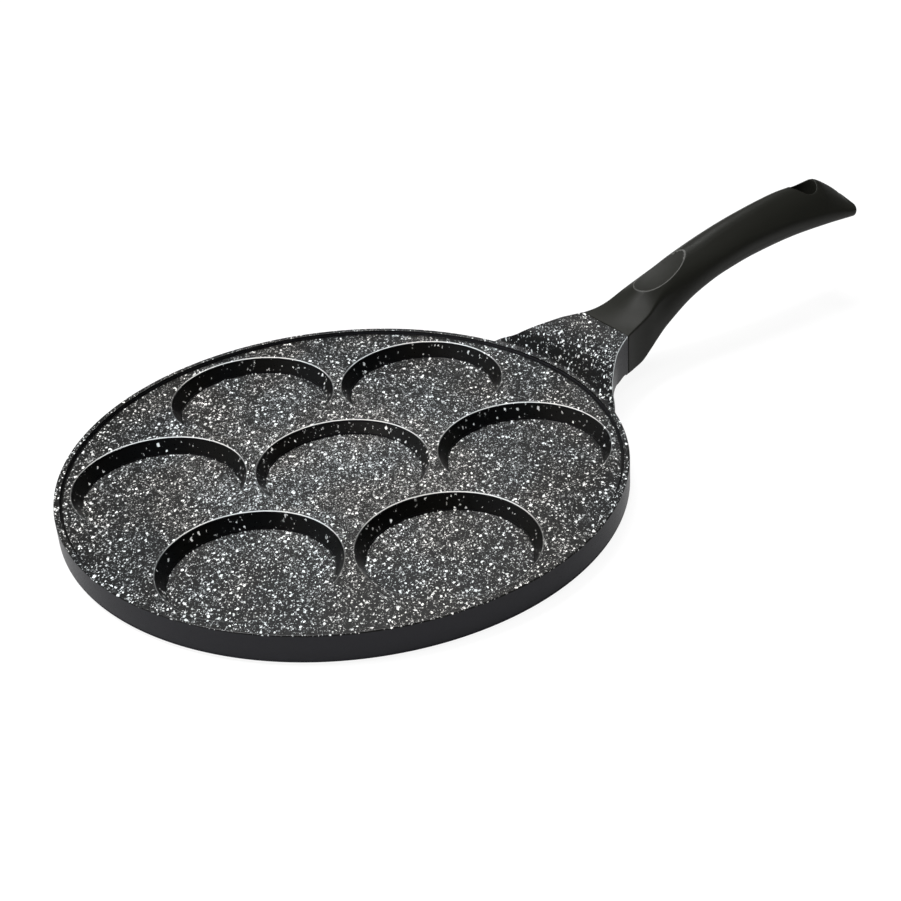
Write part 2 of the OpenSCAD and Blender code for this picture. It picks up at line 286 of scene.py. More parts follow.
def turned(profile, steps, centre=(0.0, 0.0)):
    """Grid of a profile of (radius, height) points turned about a vertical axis."""
    cx, cy = centre
    verts, faces = [], []
    n = len(profile)
    for i in range(steps):
        a = 2 * math.pi * i / steps
        verts += [(cx + r * math.cos(a), cy + r * math.sin(a), z) for r, z in profile]
    for i in range(steps):
        k = (i + 1) % steps
        faces += [(i * n + j, k * n + j, k * n + j + 1, i * n + j + 1) for j in range(n - 1)]
    return verts, faces


def combine(obj, other, operation):
    """Boolean of two closed meshes. The second one is used up."""
    mod = obj.modifiers.new("combine", "BOOLEAN")
    mod.object = other
    mod.operation = operation
    mod.solver = "EXACT"
    graph = bpy.context.evaluated_depsgraph_get()
    mesh = bpy.data.meshes.new_from_object(obj.evaluated_get(graph))
    obj.modifiers.clear()
    old = obj.data
    obj.data = mesh
    bpy.data.meshes.remove(old)
    bpy.data.objects.remove(other)
    return obj


def finish_piece(obj, nodes, material):
    """Metres, smooth shading with flat faces kept flat, material, and the place in the frame."""
    weld(obj)
    obj.data.transform(Matrix.Scale(MM, 4))
    obj.data.polygons.foreach_set("use_smooth", [True] * len(obj.data.polygons))
    obj.data.set_sharp_from_angle(angle=SHARP_ANGLE)
    normals = obj.modifiers.new("flat faces", "WEIGHTED_NORMAL")
    normals.keep_sharp = True
    normals.weight = 60
    obj.data.materials.clear()
    obj.data.materials.append(material)
    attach(obj, BODY)
    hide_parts(*nodes)


# Pan

def plate_profile():
    """Outside of the plate from the middle of the base round to the foot of the rim's step."""
    pitch = (PAN_R - GROOVE_EDGE - GROOVE_CLEAR_R) / GROOVE_COUNT
    profile = [(0, 0)]
    for i in range(GROOVE_COUNT):
        r = GROOVE_CLEAR_R + (i + 0.5) * pitch
        profile += [(r - GROOVE_W / 2, 0), (r - GROOVE_W / 4, GROOVE_DEPTH),
                    (r + GROOVE_W / 4, GROOVE_DEPTH), (r + GROOVE_W / 2, 0)]
    profile += arc(PAN_R - FOOT_ROUND, FOOT_ROUND, FOOT_ROUND, -90, 0, FOOT_STEPS)
    profile += arc(PAN_R - RIM_ROUND, PAN_H - RIM_ROUND, RIM_ROUND, 0, 90)
    profile += arc(RIM_IN_R + RIM_ROUND, PAN_H - RIM_ROUND, RIM_ROUND, 90, 180)
    profile += arc(RIM_IN_R - STEP_ROUND, DECK_Z + STEP_ROUND, STEP_ROUND, 0, -90, CREASE_STEPS)
    return profile


def well_profile(r, depth):
    """Inside of a well from the deck down to the middle of its floor."""
    lean = math.degrees(math.atan(WELL_LEAN / depth))
    floor_r, floor_z = r - WELL_LEAN, DECK_Z - depth
    lip = arc(r + LIP_ROUND, DECK_Z - LIP_ROUND, LIP_ROUND, 90, 180 + lean)
    foot = arc(floor_r - FLOOR_ROUND, floor_z + FLOOR_ROUND, FLOOR_ROUND, lean, -90)
    return lip + foot + [(floor_r * 0.5, floor_z), (0, floor_z)]


def ring_points(cx, cy, r, steps):
    """Points round a circle, the same ones as turned() gives."""
    return [(cx + r * math.cos(2 * math.pi * i / steps), cy + r * math.sin(2 * math.pi * i / steps))
            for i in range(steps)]


def well_places():
    """Centre, top radius and depth of every well."""
    places = [(0.0, 0.0, MIDDLE_R, MIDDLE_DEPTH)]
    for i in range(WELL_COUNT):
        a = math.pi / WELL_COUNT + i * 2 * math.pi / WELL_COUNT
        places.append((WELL_RING_R * math.cos(a), WELL_RING_R * math.sin(a), WELL_R, WELL_DEPTH))
    return places


def deck(outer_r):
    """Flat land between the wells, as triangles that meet the wells' lips point for point."""
    loops = [ring_points(0, 0, outer_r, PAN_STEPS)]
    for cx, cy, r, _ in well_places():
        loops.append(ring_points(cx, cy, r + LIP_ROUND, WELL_STEPS))
    points, edges = [], []
    for loop in loops:
        first = len(points)
        points += [Vector(p) for p in loop]
        edges += [(first + i, first + (i + 1) % len(loop)) for i in range(len(loop))]
    verts, _, faces, *_ = delaunay_2d_cdt(points, edges, [], 1, 1e-5)
    kept = []
    for face in faces:
        mid = sum((verts[i] for i in face), Vector((0, 0))) / len(face)
        inside = any(math.hypot(mid.x - cx, mid.y - cy) < r + LIP_ROUND * 0.999
                     for cx, cy, r, _ in well_places())
        if not inside:
            kept.append(tuple(face))
    return [(v.x, v.y, DECK_Z) for v in verts], kept


def plate():
    """Turned plate with its deck and wells, one closed mesh."""
    profile = plate_profile()
    verts, faces = turned(profile, PAN_STEPS)
    parts = [deck(profile[-1][0])]
    parts += [turned(well_profile(r, depth), WELL_STEPS, (cx, cy))
              for cx, cy, r, depth in well_places()]
    for more_verts, more_faces in parts:
        first = len(verts)
        verts += more_verts
        faces += [tuple(first + i for i in f) for f in more_faces]
    return weld(new_object("pan_body_visual", verts, faces), 0.001)


def lug_half(x):
    share = smooth(LUG_W_LINE, (x - PAN_R) / LUG_REACH)
    return SEAM_W / 2 + (LUG_ROOT_W - SEAM_W) / 2 * share


def lug_height(line, r):
    """Value of one of the lug's height lines at a distance from the pan's middle."""
    return smooth(line, max((r - PAN_R) / LUG_REACH, LUG_LINE_START))


def lug_top(r):
    return PAN_H + (SEAM_TOP - PAN_H) * lug_height(LUG_TOP_LINE, r)


def lug_under(r):
    return LUG_CLEAR * (1 - lug_height(LUG_UNDER_LINE, r))


def lug_ring(x, inset):
    """One section of the lug at x, drawn in by inset."""
    e = LUG_ROUND
    inner = lug_half(x) - inset - e
    top = lug_top(math.hypot(x, inner)) - inset
    under = lug_under(math.hypot(x, inner)) + inset
    across = np.linspace(-inner, inner, LUG_FLAT_STEPS + 1)[1:-1]
    back = np.linspace(inner, -inner, LUG_FLAT_STEPS + 1)[1:-1]
    ring = [(y, lug_top(math.hypot(x, y)) - inset) for y in across]
    ring += arc(inner, top - e, e, 90, 0) + arc(inner, under + e, e, 0, -90)
    ring += [(y, lug_under(math.hypot(x, y)) + inset) for y in back]
    ring += arc(-inner, under + e, e, -90, -180) + arc(-inner, top - e, e, 180, 90)
    return [(x, y, z) for y, z in ring]


def lug():
    """Flared lug from inside the plate to the seam, where its edge is rounded."""
    places = [(x, 0.0) for x in np.linspace(LUG_START_X, SEAM_X - SEAM_EDGE, LUG_SECTIONS)]
    places += [(SEAM_X - SEAM_EDGE * (1 - math.sin(a)), SEAM_EDGE * (1 - math.cos(a)))
               for a in np.radians([30, 60, 90])]
    return loft("lug", [lug_ring(x, inset) for x, inset in places])


def at_tenon():
    """Frame of the tenon: X runs along it, and the screw comes up from below."""
    place = Matrix.Translation((SEAM_X, 0, LUG_CLEAR + SEAM_H / 2))
    return place @ Matrix.Rotation(-TENON_TILT, 4, "Y")


def tenon(name, grow):
    """Tenon of the lug, or the cutter of its socket when it is grown by the fit."""
    w, h, c = TENON_W / 2 + grow, TENON_H / 2 + grow, TENON_CHAMFER
    outline = [(-w + c, -h), (w - c, -h), (w, -h + c), (w, h - c), (w - c, h), (-w + c, h),
               (-w, h - c), (-w, -h + c)]
    obj = loft(name, [[(x, y, z) for y, z in outline] for x in (-TENON_ROOT, TENON_L + grow)])
    obj.data.transform(at_tenon())
    return weld(obj)


def down_screw(name, profile):
    """Turned piece on the screw's axis: profile of (radius, distance down from the tenon)."""
    verts, faces = turned([(r, -d) for r, d in profile], SCREW_STEPS)
    obj = new_object(name, verts, faces)
    obj.data.transform(at_tenon() @ Matrix.Translation((SCREW_POS, 0, 0)))
    return weld(obj)


def round_bar(name, d, start, stop):
    return down_screw(name, [(0, start), (d / 2, start), (d / 2, stop), (0, stop)])


def pan_body():
    """Plate, lug and tenon as one casting, with the tapped hole for the screw."""
    pan = plate()
    combine(pan, lug(), "UNION")
    combine(pan, tenon("tenon", 0), "UNION")
    tapped = round_bar("tapped hole", SCREW_D, -SCREW_TIP - TAP_PAST_TIP, TENON_H / 2 + CUT_PAST)
    combine(pan, tapped, "DIFFERENCE")
    return pan


# Handle

def handle_ring(x, inset):
    """One section of the handle at x, drawn in by inset, as (y, z) points from the ridge round."""
    u = (x - HANDLE_X0) / HANDLE_L
    w = NECK_W / 2 + (SEAM_W - NECK_W) / 2 * smooth(FLARE_IN_LINE, u)
    w += (END_W - NECK_W) / 2 * smooth(FLARE_OUT_LINE, u) - inset
    low = LUG_CLEAR + HANDLE_RISE * smooth(BELLY_LINE, u) + inset
    high = SEAM_TOP + HANDLE_RISE * smooth(RIDGE_LINE, u) - inset
    side = low + (high - low) * smooth(SIDE_HEIGHT_LINE, u)
    nose = 1 if x < SLOPE_X0 else smooth(NOSE_LINE, (x - SLOPE_X0) / NOSE_SLOPE_L)
    gable = (high - side) * nose
    sw, sz = w * smooth(SHOULDER_WIDTH_LINE, u), side + gable * smooth(SHOULDER_HEIGHT_LINE, u)
    bw = w * smooth(BELLY_WIDTH_LINE, u)
    corners = [(0, side + gable), (sw, sz), (w, side), (bw, low),
               (-bw, low), (-w, side), (-sw, sz)]
    ridge, shoulder, flank, belly = (smooth(line, u) for line in (
        RIDGE_ROUND_LINE, SHOULDER_ROUND_LINE, SIDE_ROUND_LINE, BELLY_ROUND_LINE))
    setbacks = [ridge, shoulder, flank, belly, belly, flank, shoulder]
    edge_steps = [HANDLE_TOP_STEPS] + [HANDLE_SIDE_STEPS] * 5 + [HANDLE_TOP_STEPS]
    curves = [corner(corners[i - 1], corners[i], corners[(i + 1) % 7], setbacks[i])
              for i in range(7)]
    ring = []
    for i in range(7):
        ring += curves[i]
        ring += between(curves[i][-1], curves[(i + 1) % 7][0], edge_steps[i])
    return ring


def scoop(x, y, z):
    """Height of a point of the handle's top with the thumb scoop taken out, its edge softened."""
    reach = THUMB_R ** 2 - (x - THUMB_X) ** 2 - y ** 2
    if reach <= 0 or z < SEAM_TOP:
        return z
    floor = THUMB_Z - math.sqrt(reach)
    h = min(max(0.5 + 0.5 * (floor - z) / SCOOP_EDGE, 0), 1)
    return floor * (1 - h) + z * h - SCOOP_EDGE * h * (1 - h)


def handle_places():
    """Places along the handle, with how far each section is drawn in."""
    places = [(HANDLE_X0 + SEAM_EDGE * (1 - math.cos(a)), SEAM_EDGE * (1 - math.sin(a)))
              for a in np.radians([0, 30, 60])]
    for start, stop, pitch in HANDLE_STRETCHES:
        count = max(int(round((stop - start) / pitch)), 2)
        places += [(start + (stop - start) * i / count, 0.0) for i in range(count)]
    places += [(NOSE_X + NOSE_ROUND * math.sin(a), NOSE_ROUND * (1 - math.cos(a)))
               for a in np.radians(np.linspace(0, 85, 10))]
    return places


def handle_form():
    """Handle with its thumb scoop, before the holes are cut."""
    rings = []
    for x, inset in handle_places():
        section = handle_ring(x, inset)
        rings.append([(x, y, scoop(x, y, z)) for y, z in section])
    return loft("handle_visual", rings)


def surface_height(x, y, upper):
    """Height of the handle's top or belly at a place."""
    ring = handle_ring(min(x, NOSE_X), 0.0)
    ys = np.array([p[0] for p in ring])
    zs = np.array([p[1] for p in ring])
    widest = int(np.argmax(ys)), int(np.argmin(ys))
    if upper:
        order = list(range(widest[1], len(ring))) + list(range(0, widest[0] + 1))
    else:
        order = list(range(widest[1], widest[0] - 1, -1))
    return float(np.interp(y, ys[order], zs[order]))


def hang_outline(grow):
    """Teardrop outline of the hanging hole, grown by an offset, point towards the pan."""
    r = HANG_W / 2
    reach = HANG_L - r
    opening = math.degrees(math.acos(r / reach))
    turn = [(HANG_X + (r + grow) * math.cos(a), (r + grow) * math.sin(a))
            for a in np.radians(np.linspace(-180 + opening, 180 - opening, 65))]
    tip = [(HANG_X - reach + grow * math.cos(a), grow * math.sin(a))
           for a in np.radians(np.linspace(180 - opening, 180 + opening, 9))]
    return turn + between(turn[-1], tip[0], 12) + tip + between(tip[-1], turn[0], 12)


def hang_cutter():
    """Cutter for the hanging hole whose two ends open out into rounded rims."""
    tiny, proud = 0.02, 0.06
    rings = []
    angles = np.radians(np.linspace(85, 0, 8))
    for upper, side, turns in ((False, 1, angles), (True, -1, angles[::-1])):
        for a in turns:
            outline = hang_outline(HANG_RIM * (1 - math.cos(a)) + tiny)
            drop = side * (HANG_RIM * (1 - math.sin(a)) - proud)
            rings.append([(x, y, surface_height(x, y, upper) + drop) for x, y in outline])
    first = [(x, y, HANG_CUT_LOW) for x, y, _ in rings[0]]
    last = [(x, y, HANG_CUT_HIGH) for x, y, _ in rings[-1]]
    return loft("hanging hole", [first] + rings + [last])


def handle():
    """Handle with its hanging hole, its socket and the hole and recess of the screw."""
    body = handle_form()
    cutters = [
        hang_cutter(),
        tenon("socket", TENON_FIT),
        round_bar("screw hole", SCREW_D + 2 * SCREW_FIT, 0.0, WASHER_SEAT + CUT_PAST),
        round_bar("screw recess", WASHER_D + 2 * SCREW_FIT, WASHER_SEAT, WASHER_SEAT + RECESS_CUT)]
    for cutter in cutters:
        combine(body, cutter, "DIFFERENCE")
    return body


# Fastening

def cross_cutter():
    """Cross-shaped drive, tapering towards the bottom of the recess."""
    bars = []
    for turn in (0, math.pi / 2):
        c, s = math.cos(turn), math.sin(turn)
        rings = []
        for depth, half_l, half_w in (DRIVE_MOUTH, DRIVE_BOTTOM):
            outline = [(-half_l, -half_w), (half_l, -half_w), (half_l, half_w), (-half_l, half_w)]
            rings.append([(x * c - y * s, x * s + y * c, depth) for x, y in outline])
        bars.append(loft("drive bar", rings))
    combine(bars[0], bars[1], "UNION")
    place = at_tenon() @ Matrix.Translation((SCREW_POS, 0, -HEAD_SEAT - HEAD_H))
    bars[0].data.transform(place)
    return weld(bars[0])


def handle_screw():
    """Pan-head screw: the shank with its thread, the domed head and the drive."""
    shank = SCREW_D / 2
    root, crest = shank - THREAD_DEPTH, shank - CREST_INSET
    d = -SCREW_TIP + TIP_CHAMFER_L
    profile = [(0, -SCREW_TIP), (shank - TIP_CHAMFER_W, -SCREW_TIP), (root, d)]
    while d < TENON_H / 2 - THREAD_PITCH:
        profile += [(crest, d + THREAD_PITCH / 2), (root, d + THREAD_PITCH)]
        d += THREAD_PITCH
    top = HEAD_SEAT + HEAD_H
    profile += [(crest, d + THREAD_PITCH / 2), (crest, HEAD_SEAT), (HEAD_D / 2, HEAD_SEAT),
                (HEAD_D / 2, top - DOME_H)]
    profile += [(HEAD_D / 2 - DOME_W * (1 - math.cos(a)), top - DOME_H * (1 - math.sin(a)))
                for a in np.radians(np.linspace(15, 90, 7))]
    screw = down_screw("handle_screw_visual", profile + [(0, top)])
    return combine(screw, cross_cutter(), "DIFFERENCE")


def screw_washer():
    """Plain washer with broken edges."""
    inner, outer, edge = (SCREW_D + SCREW_FIT) / 2, WASHER_D / 2, WASHER_EDGE
    low, high = WASHER_SEAT, HEAD_SEAT
    profile = [(inner, low), (outer - edge, low), (outer, low + edge), (outer, high - edge),
               (outer - edge, high), (inner, high), (inner, low)]
    return down_screw("screw_washer_visual", profile)


# Materials

# Level directions from the pan, as the photograph sees it
BEHIND = (0.548, 0.836, 0.0)
TOWARDS = (-0.548, -0.836, 0.0)
RIGHT = (0.836, -0.548, 0.0)
LEFT = (-0.836, 0.548, 0.0)

# Each ramp is (from, to, value before, value after). Without the last two it goes from 0 to 1.
# The spray's ramps, and those with SLOPE in their names, go by the height of the surface's
# normal: 1 where it is level, 0 on a wall and -1 on the base.
SLOPE_SPRAY = (0.12, 0.3, 0.0, 0.28)
LEVEL_SPRAY = (0.62, 0.82, 0.0, 0.69)
LUG_SPRAY = (0.15, 0.4, 0.0, 0.68)
DUST_POWER = 3.0
# By the distance from the pan's middle
OUTWARD_SPRAY = (20.0, 131.0, 1.08, 0.84)
LUG_RADIUS = (RIM_IN_R + 0.5, RIM_IN_R + 1.5)
# Band of the crease inside the rim, painted shade: no flecks and less gloss there
CREASE_SHADE_START = (RIM_IN_R - 1.1, RIM_IN_R - 0.7)
CREASE_SHADE_STOP = (RIM_IN_R + 0.2, RIM_IN_R + 0.5, 1.0, 0.0)

# Axes of the flecks, which come out longer along the line of sight than across it
FLECK_AXES = (RIGHT, (0.38, 0.58, 0.0), (0.0, 0.0, 0.7))
BEND_SCALE = 0.9
BEND_BY = 1.9
CLOUD_SCALE = 0.16
CLOUD_SHARE = (0.3, 0.7, 0.7, 1.25)
# Layers of flecks: cells per mm, a fleck's radius in cells, the share of cells that have one,
# and the dullest and the brightest tone
COARSE_FLECKS = (0.61, 0.36, 0.33, 0.60, 1.0)
FINE_FLECKS = (1.0, 0.37, 0.46, 0.25, 1.0)
DUST_FLECKS = (1.6, 0.43, 0.88, 0.05, 0.52)
SMALLEST_FLECK = 0.55
LARGEST_FLECK = 1.25
FLECK_BLUR = 0.22
PICK_BLUR = 0.02
FLECK_TONE_POWER = 1.5

# Painted highlight on the lips of the wells, pale all round and brightest where they face the
# camera
LIP_HIGHLIGHT_SLOPE_START = (0.45, 0.65)
LIP_HIGHLIGHT_SLOPE_STOP = (0.9, 0.985, 1.0, 0.0)
LIP_HIGHLIGHT_FACING = (0.1, 0.45, 0.12, 0.7)
LIP_HIGHLIGHT_HEIGHT_START = (DECK_Z - 0.7, DECK_Z - 0.4)
LIP_HIGHLIGHT_HEIGHT_STOP = (DECK_Z, DECK_Z + 0.05, 1.0, 0.0)
# Painted highlight: a pale line along the top edge of the lug's near side
EDGE_HIGHLIGHT_FACING = (-0.6, -0.4, 1.0, 0.0)
EDGE_HIGHLIGHT_SLOPE_START = (0.5, 0.6)
EDGE_HIGHLIGHT_SLOPE_STOP = (0.78, 0.88, 0.6, 0.0)
EDGE_HIGHLIGHT_RADIUS = (RIM_IN_R + 3.0, RIM_IN_R + 5.0)

DRIFT_SCALE = 0.03
DRIFT = (0.35, 0.65)
COOL_BLACK = (0.0018, 0.0021, 0.0025, 1)
WARM_BLACK = (0.0026, 0.0024, 0.0020, 1)
COOL_FLECK = (0.88, 0.94, 0.96, 1)
WARM_FLECK = (0.95, 0.94, 0.91, 1)
WALL_BLACK = (0.0290, 0.0290, 0.0325, 1)
WALL_SLOPE = (0.06, 0.2, 1.0, 0.0)

COATING_IOR = 1.3
COATING_GRAIN_SCALE = 2.2
COATING_ROUGHNESS = (0.3, 0.7, 0.27, 0.4)
PEEL_SCALE = 0.55
FLECK_HEIGHT = 0.35
COATING_BUMP = (0.25, 0.00008)      # strength and distance, in metres
# Gloss by height, falling almost to none at the foot: painted shade, the dark floor the foot would
# reflect
FOOT_SHADE_GLOSS = (0.0, 3.6, 0.03, 0.5)
# Less gloss in the crease inside the rim: painted shade
CREASE_SHADE_MATT = 0.35
WALL_MATT = 0.42
BASE_SLOPE_GLOSS = (-0.99, -0.95, 0.3, 0.0)

# Handle's plastic. A painted highlight follows the scoop's edge as a pale line: its ramps go by the
# distance past the scoop's ball and along the handle, where it is fainter near the pan.
PLASTIC_DARK = (0.0092, 0.0094, 0.0074, 1)
PLASTIC_LIGHT = (0.0114, 0.0116, 0.0096, 1)
PLASTIC_CLOUD_SCALE = 0.06
SCOOP_HIGHLIGHT = (0.07, 0.07, 0.066, 1)
SCOOP_HIGHLIGHT_START = (0.0, 0.03)
SCOOP_HIGHLIGHT_STOP = (0.15, 0.35, 1.0, 0.0)
SCOOP_HIGHLIGHT_ALONG = (THUMB_X - 12.0, THUMB_X + 12.0, 0.1, 1.0)
PLASTIC_GRAIN_SCALE = 5.0
PLASTIC_ROUGHNESS = (0.3, 0.7, 0.44, 0.52)
PLASTIC_BUMP = (0.2, 0.00003)
PLASTIC_IOR = 1.21

STEEL_GRAIN_SCALE = 1.4
STEEL_ROUGHNESS = (0.3, 0.7, 0.26, 0.4)


class Nodes:
    """Short ways to add nodes to a material or a world, and to set its shader's inputs."""

    def __init__(self, owner, shader="Principled BSDF"):
        owner.use_nodes = True
        self.owner = owner
        self.tree = owner.node_tree
        self.shader = self.tree.nodes[shader]

    def add(self, kind, inputs=(), **settings):
        node = self.tree.nodes.new(kind)
        for key, value in settings.items():
            setattr(node, key, value)
        for key, value in dict(inputs).items():
            self.put(node.inputs[key], value)
        return node

    def put(self, socket, value):
        if isinstance(value, bpy.types.NodeSocket):
            self.tree.links.new(value, socket)
        else:
            socket.default_value = value

    def shade(self, **inputs):
        """Sets inputs of the shader, their names with underscores for spaces."""
        for name, value in inputs.items():
            self.put(self.shader.inputs[name.replace("_", " ")], value)

    def maths(self, operation, *values):
        """One number from several, taken from left to right."""
        total = values[0]
        for value in values[1:]:
            node = self.add("ShaderNodeMath", {0: total, 1: value}, operation=operation)
            total = node.outputs[0]
        return total

    def vectors(self, operation, *values):
        """Vector maths: a number for a length, distance or dot product, or else a vector."""
        node = self.add("ShaderNodeVectorMath", dict(enumerate(values)), operation=operation)
        number = operation in ("LENGTH", "DISTANCE", "DOT_PRODUCT")
        return node.outputs["Value" if number else "Vector"]

    def scaled(self, vector, scale):
        node = self.add("ShaderNodeVectorMath", {0: vector, "Scale": scale}, operation="SCALE")
        return node.outputs["Vector"]

    def parts(self, vector):
        return self.add("ShaderNodeSeparateXYZ", {0: vector}).outputs

    def ramp(self, value, low, high, to_low=0.0, to_high=1.0, form="SMOOTHSTEP"):
        node = self.add("ShaderNodeMapRange", {"Value": value, "From Min": low, "From Max": high,
                                               "To Min": to_low, "To Max": to_high},
                        interpolation_type=form)
        return node.outputs["Result"]

    def mix(self, share, a, b):
        """Mix of two colours. The node keeps them in its sockets 6 and 7."""
        node = self.add("ShaderNodeMix", {"Factor": share, 6: a, 7: b}, data_type="RGBA")
        return node.outputs[2]

    def noise(self, vector, scale, detail, output="Fac"):
        node = self.add("ShaderNodeTexNoise", {"Vector": vector, "Scale": scale, "Detail": detail})
        return node.outputs[output]

    def bump(self, height, strength, distance):
        node = self.add("ShaderNodeBump", {"Strength": strength, "Distance": distance,
                                           "Height": height})
        return node.outputs[0]

    def millimetres(self):
        """Place on the piece in millimetres, and the piece's own normal."""
        coords = self.add("ShaderNodeTexCoord").outputs
        return self.scaled(coords["Object"], 1 / MM), coords["Normal"]


def fleck_layer(n, place, spray, cloud, scale, size, share, dull, bright):
    """One size of pale fleck: a share of the cells of a cell pattern, each with a size and tone."""
    cell = n.add("ShaderNodeTexVoronoi", {"Vector": place, "Scale": scale, "Randomness": 1.0})
    dice = n.add("ShaderNodeTexWhiteNoise", {"Vector": cell.outputs["Color"]})
    pick = n.add("ShaderNodeSeparateColor", {0: dice.outputs["Color"]}).outputs
    wanted = n.maths("MULTIPLY", spray, share, n.ramp(cloud, *CLOUD_SHARE))
    there = n.ramp(n.maths("SUBTRACT", wanted, pick[2]), 0.0, PICK_BLUR)
    radius = n.ramp(pick[1], 0, 1, size * SMALLEST_FLECK, size * LARGEST_FLECK)
    within = n.maths("SUBTRACT", radius, cell.outputs["Distance"])
    spot = n.ramp(within, 0.0, size * FLECK_BLUR)
    tone = n.ramp(n.maths("POWER", pick[0], FLECK_TONE_POWER), 0, 1, dull, bright)
    return n.maths("MULTIPLY", spot, there, tone)


def fleck_places(n, place):
    """The place in the flecks' axes, and the same place bent so that no fleck is round."""
    along = [n.vectors("DOT_PRODUCT", place, axis) for axis in FLECK_AXES]
    place = n.add("ShaderNodeCombineXYZ", dict(enumerate(along))).outputs[0]
    bend = n.vectors("SUBTRACT", n.noise(place, BEND_SCALE, 2.0, "Color"), (0.5, 0.5, 0.5))
    return place, n.vectors("ADD", place, n.scaled(bend, BEND_BY))


def coating():
    """Black non-stick coating: pale flecks where the spray came down, none on walls and base, with
    painted highlights on the lips and the lug's near edge and painted shade in the rim's crease and
    at the foot.
    """
    n = Nodes(bpy.data.materials.new("speckled coating"))
    place, normal = n.millimetres()
    up, height = n.parts(normal)["Z"], n.parts(place)["Z"]
    radius = n.vectors("LENGTH", n.vectors("MULTIPLY", place, (1.0, 1.0, 0.0)))

    # The spray: thick on level ground and thinner on slopes. The crease inside the rim is kept free
    # of flecks as painted shade
    crease_shade = n.maths("MULTIPLY", n.ramp(radius, *CREASE_SHADE_START), n.ramp(radius, *CREASE_SHADE_STOP))
    spray = n.maths("ADD", n.ramp(up, *SLOPE_SPRAY), n.ramp(up, *LEVEL_SPRAY))
    on_lug = n.maths("MULTIPLY", n.ramp(radius, *LUG_RADIUS), n.ramp(up, *LUG_SPRAY))
    spray = n.maths("MULTIPLY", n.maths("MAXIMUM", spray, on_lug),
                    n.maths("SUBTRACT", 1.0, crease_shade), n.ramp(radius, *OUTWARD_SPRAY))
    dust = n.maths("POWER", spray, DUST_POWER)

    place, bent = fleck_places(n, place)
    cloud = n.noise(place, CLOUD_SCALE, 3.0)
    layers = ((spray, COARSE_FLECKS), (spray, FINE_FLECKS), (dust, DUST_FLECKS))
    flecks = n.maths("MAXIMUM", *(fleck_layer(n, bent, amount, cloud, *layer)
                                  for amount, layer in layers))

    # Painted highlight on the wells' lips, brightest on the side facing the camera
    lip = n.maths("MULTIPLY", n.ramp(up, *LIP_HIGHLIGHT_SLOPE_START), n.ramp(up, *LIP_HIGHLIGHT_SLOPE_STOP),
                  n.ramp(n.vectors("DOT_PRODUCT", normal, TOWARDS), *LIP_HIGHLIGHT_FACING),
                  n.ramp(height, *LIP_HIGHLIGHT_HEIGHT_START), n.ramp(height, *LIP_HIGHLIGHT_HEIGHT_STOP))
    # Painted highlight along the top edge of the lug's near side
    edge = n.maths("MULTIPLY", n.ramp(n.parts(normal)["Y"], *EDGE_HIGHLIGHT_FACING),
                   n.ramp(up, *EDGE_HIGHLIGHT_SLOPE_START), n.ramp(up, *EDGE_HIGHLIGHT_SLOPE_STOP),
                   n.ramp(radius, *EDGE_HIGHLIGHT_RADIUS))

    # Colours, which drift a little across the pan
    wall = n.ramp(up, *WALL_SLOPE)
    drift = n.ramp(n.noise(place, DRIFT_SCALE, 2.0), *DRIFT)
    black = n.mix(wall, n.mix(drift, COOL_BLACK, WARM_BLACK), WALL_BLACK)
    pale = n.mix(drift, COOL_FLECK, WARM_FLECK)
    # The flecks, the lips' painted highlight and the lug edge's painted highlight turn the black
    # pale
    n.shade(Base_Color=n.mix(n.maths("MAXIMUM", flecks, lip, edge), black, pale))

    grain = n.noise(place, COATING_GRAIN_SCALE, 3.0)
    peel = n.noise(place, PEEL_SCALE, 3.0)
    relief = n.maths("ADD", peel, n.maths("MULTIPLY", flecks, FLECK_HEIGHT))
    # Gloss: the walls are matt; the crease's matt and the fall of gloss to the foot are painted
    # shade
    matt = n.maths("ADD", n.maths("MULTIPLY", crease_shade, CREASE_SHADE_MATT),
                   n.maths("MULTIPLY", wall, WALL_MATT))
    gloss = n.maths("SUBTRACT", n.ramp(height, *FOOT_SHADE_GLOSS), matt)
    gloss = n.maths("MAXIMUM", gloss, n.ramp(up, *BASE_SLOPE_GLOSS))
    n.shade(Roughness=n.ramp(grain, *COATING_ROUGHNESS), Normal=n.bump(relief, *COATING_BUMP),
            Specular_IOR_Level=gloss, IOR=COATING_IOR)
    return n.owner


def soft_touch():
    """Moulded black plastic with a fine soft-touch grain and a painted highlight as a pale line
    round the scoop.
    """
    n = Nodes(bpy.data.materials.new("soft-touch black"))
    place, _ = n.millimetres()
    colour = n.mix(n.noise(place, PLASTIC_CLOUD_SCALE, 2.0), PLASTIC_DARK, PLASTIC_LIGHT)
    from_ball = n.vectors("DISTANCE", place, (THUMB_X, 0.0, THUMB_Z))
    past = n.maths("SUBTRACT", from_ball, THUMB_R)
    # Painted highlight: a pale line along the scoop's edge, fainter near the pan
    edge = n.maths("MULTIPLY", n.ramp(past, *SCOOP_HIGHLIGHT_START), n.ramp(past, *SCOOP_HIGHLIGHT_STOP),
                   n.ramp(n.parts(place)["X"], *SCOOP_HIGHLIGHT_ALONG))
    grain = n.noise(place, PLASTIC_GRAIN_SCALE, 3.0)
    n.shade(Base_Color=n.mix(edge, colour, SCOOP_HIGHLIGHT), IOR=PLASTIC_IOR,
            Roughness=n.ramp(grain, *PLASTIC_ROUGHNESS), Normal=n.bump(grain, *PLASTIC_BUMP))
    return n.owner


def plated_steel(name, tone):
    """Zinc-plated steel with a light turned grain."""
    n = Nodes(bpy.data.materials.new(name))
    place, _ = n.millimetres()
    grain = n.noise(place, STEEL_GRAIN_SCALE, 4.0)
    light, dark = (tone, tone, tone * 1.01, 1), (tone * 0.8, tone * 0.81, tone * 0.83, 1)
    n.shade(Base_Color=n.mix(grain, light, dark), Roughness=n.ramp(grain, *STEEL_ROUGHNESS),
            Metallic=1.0)
    return n.owner


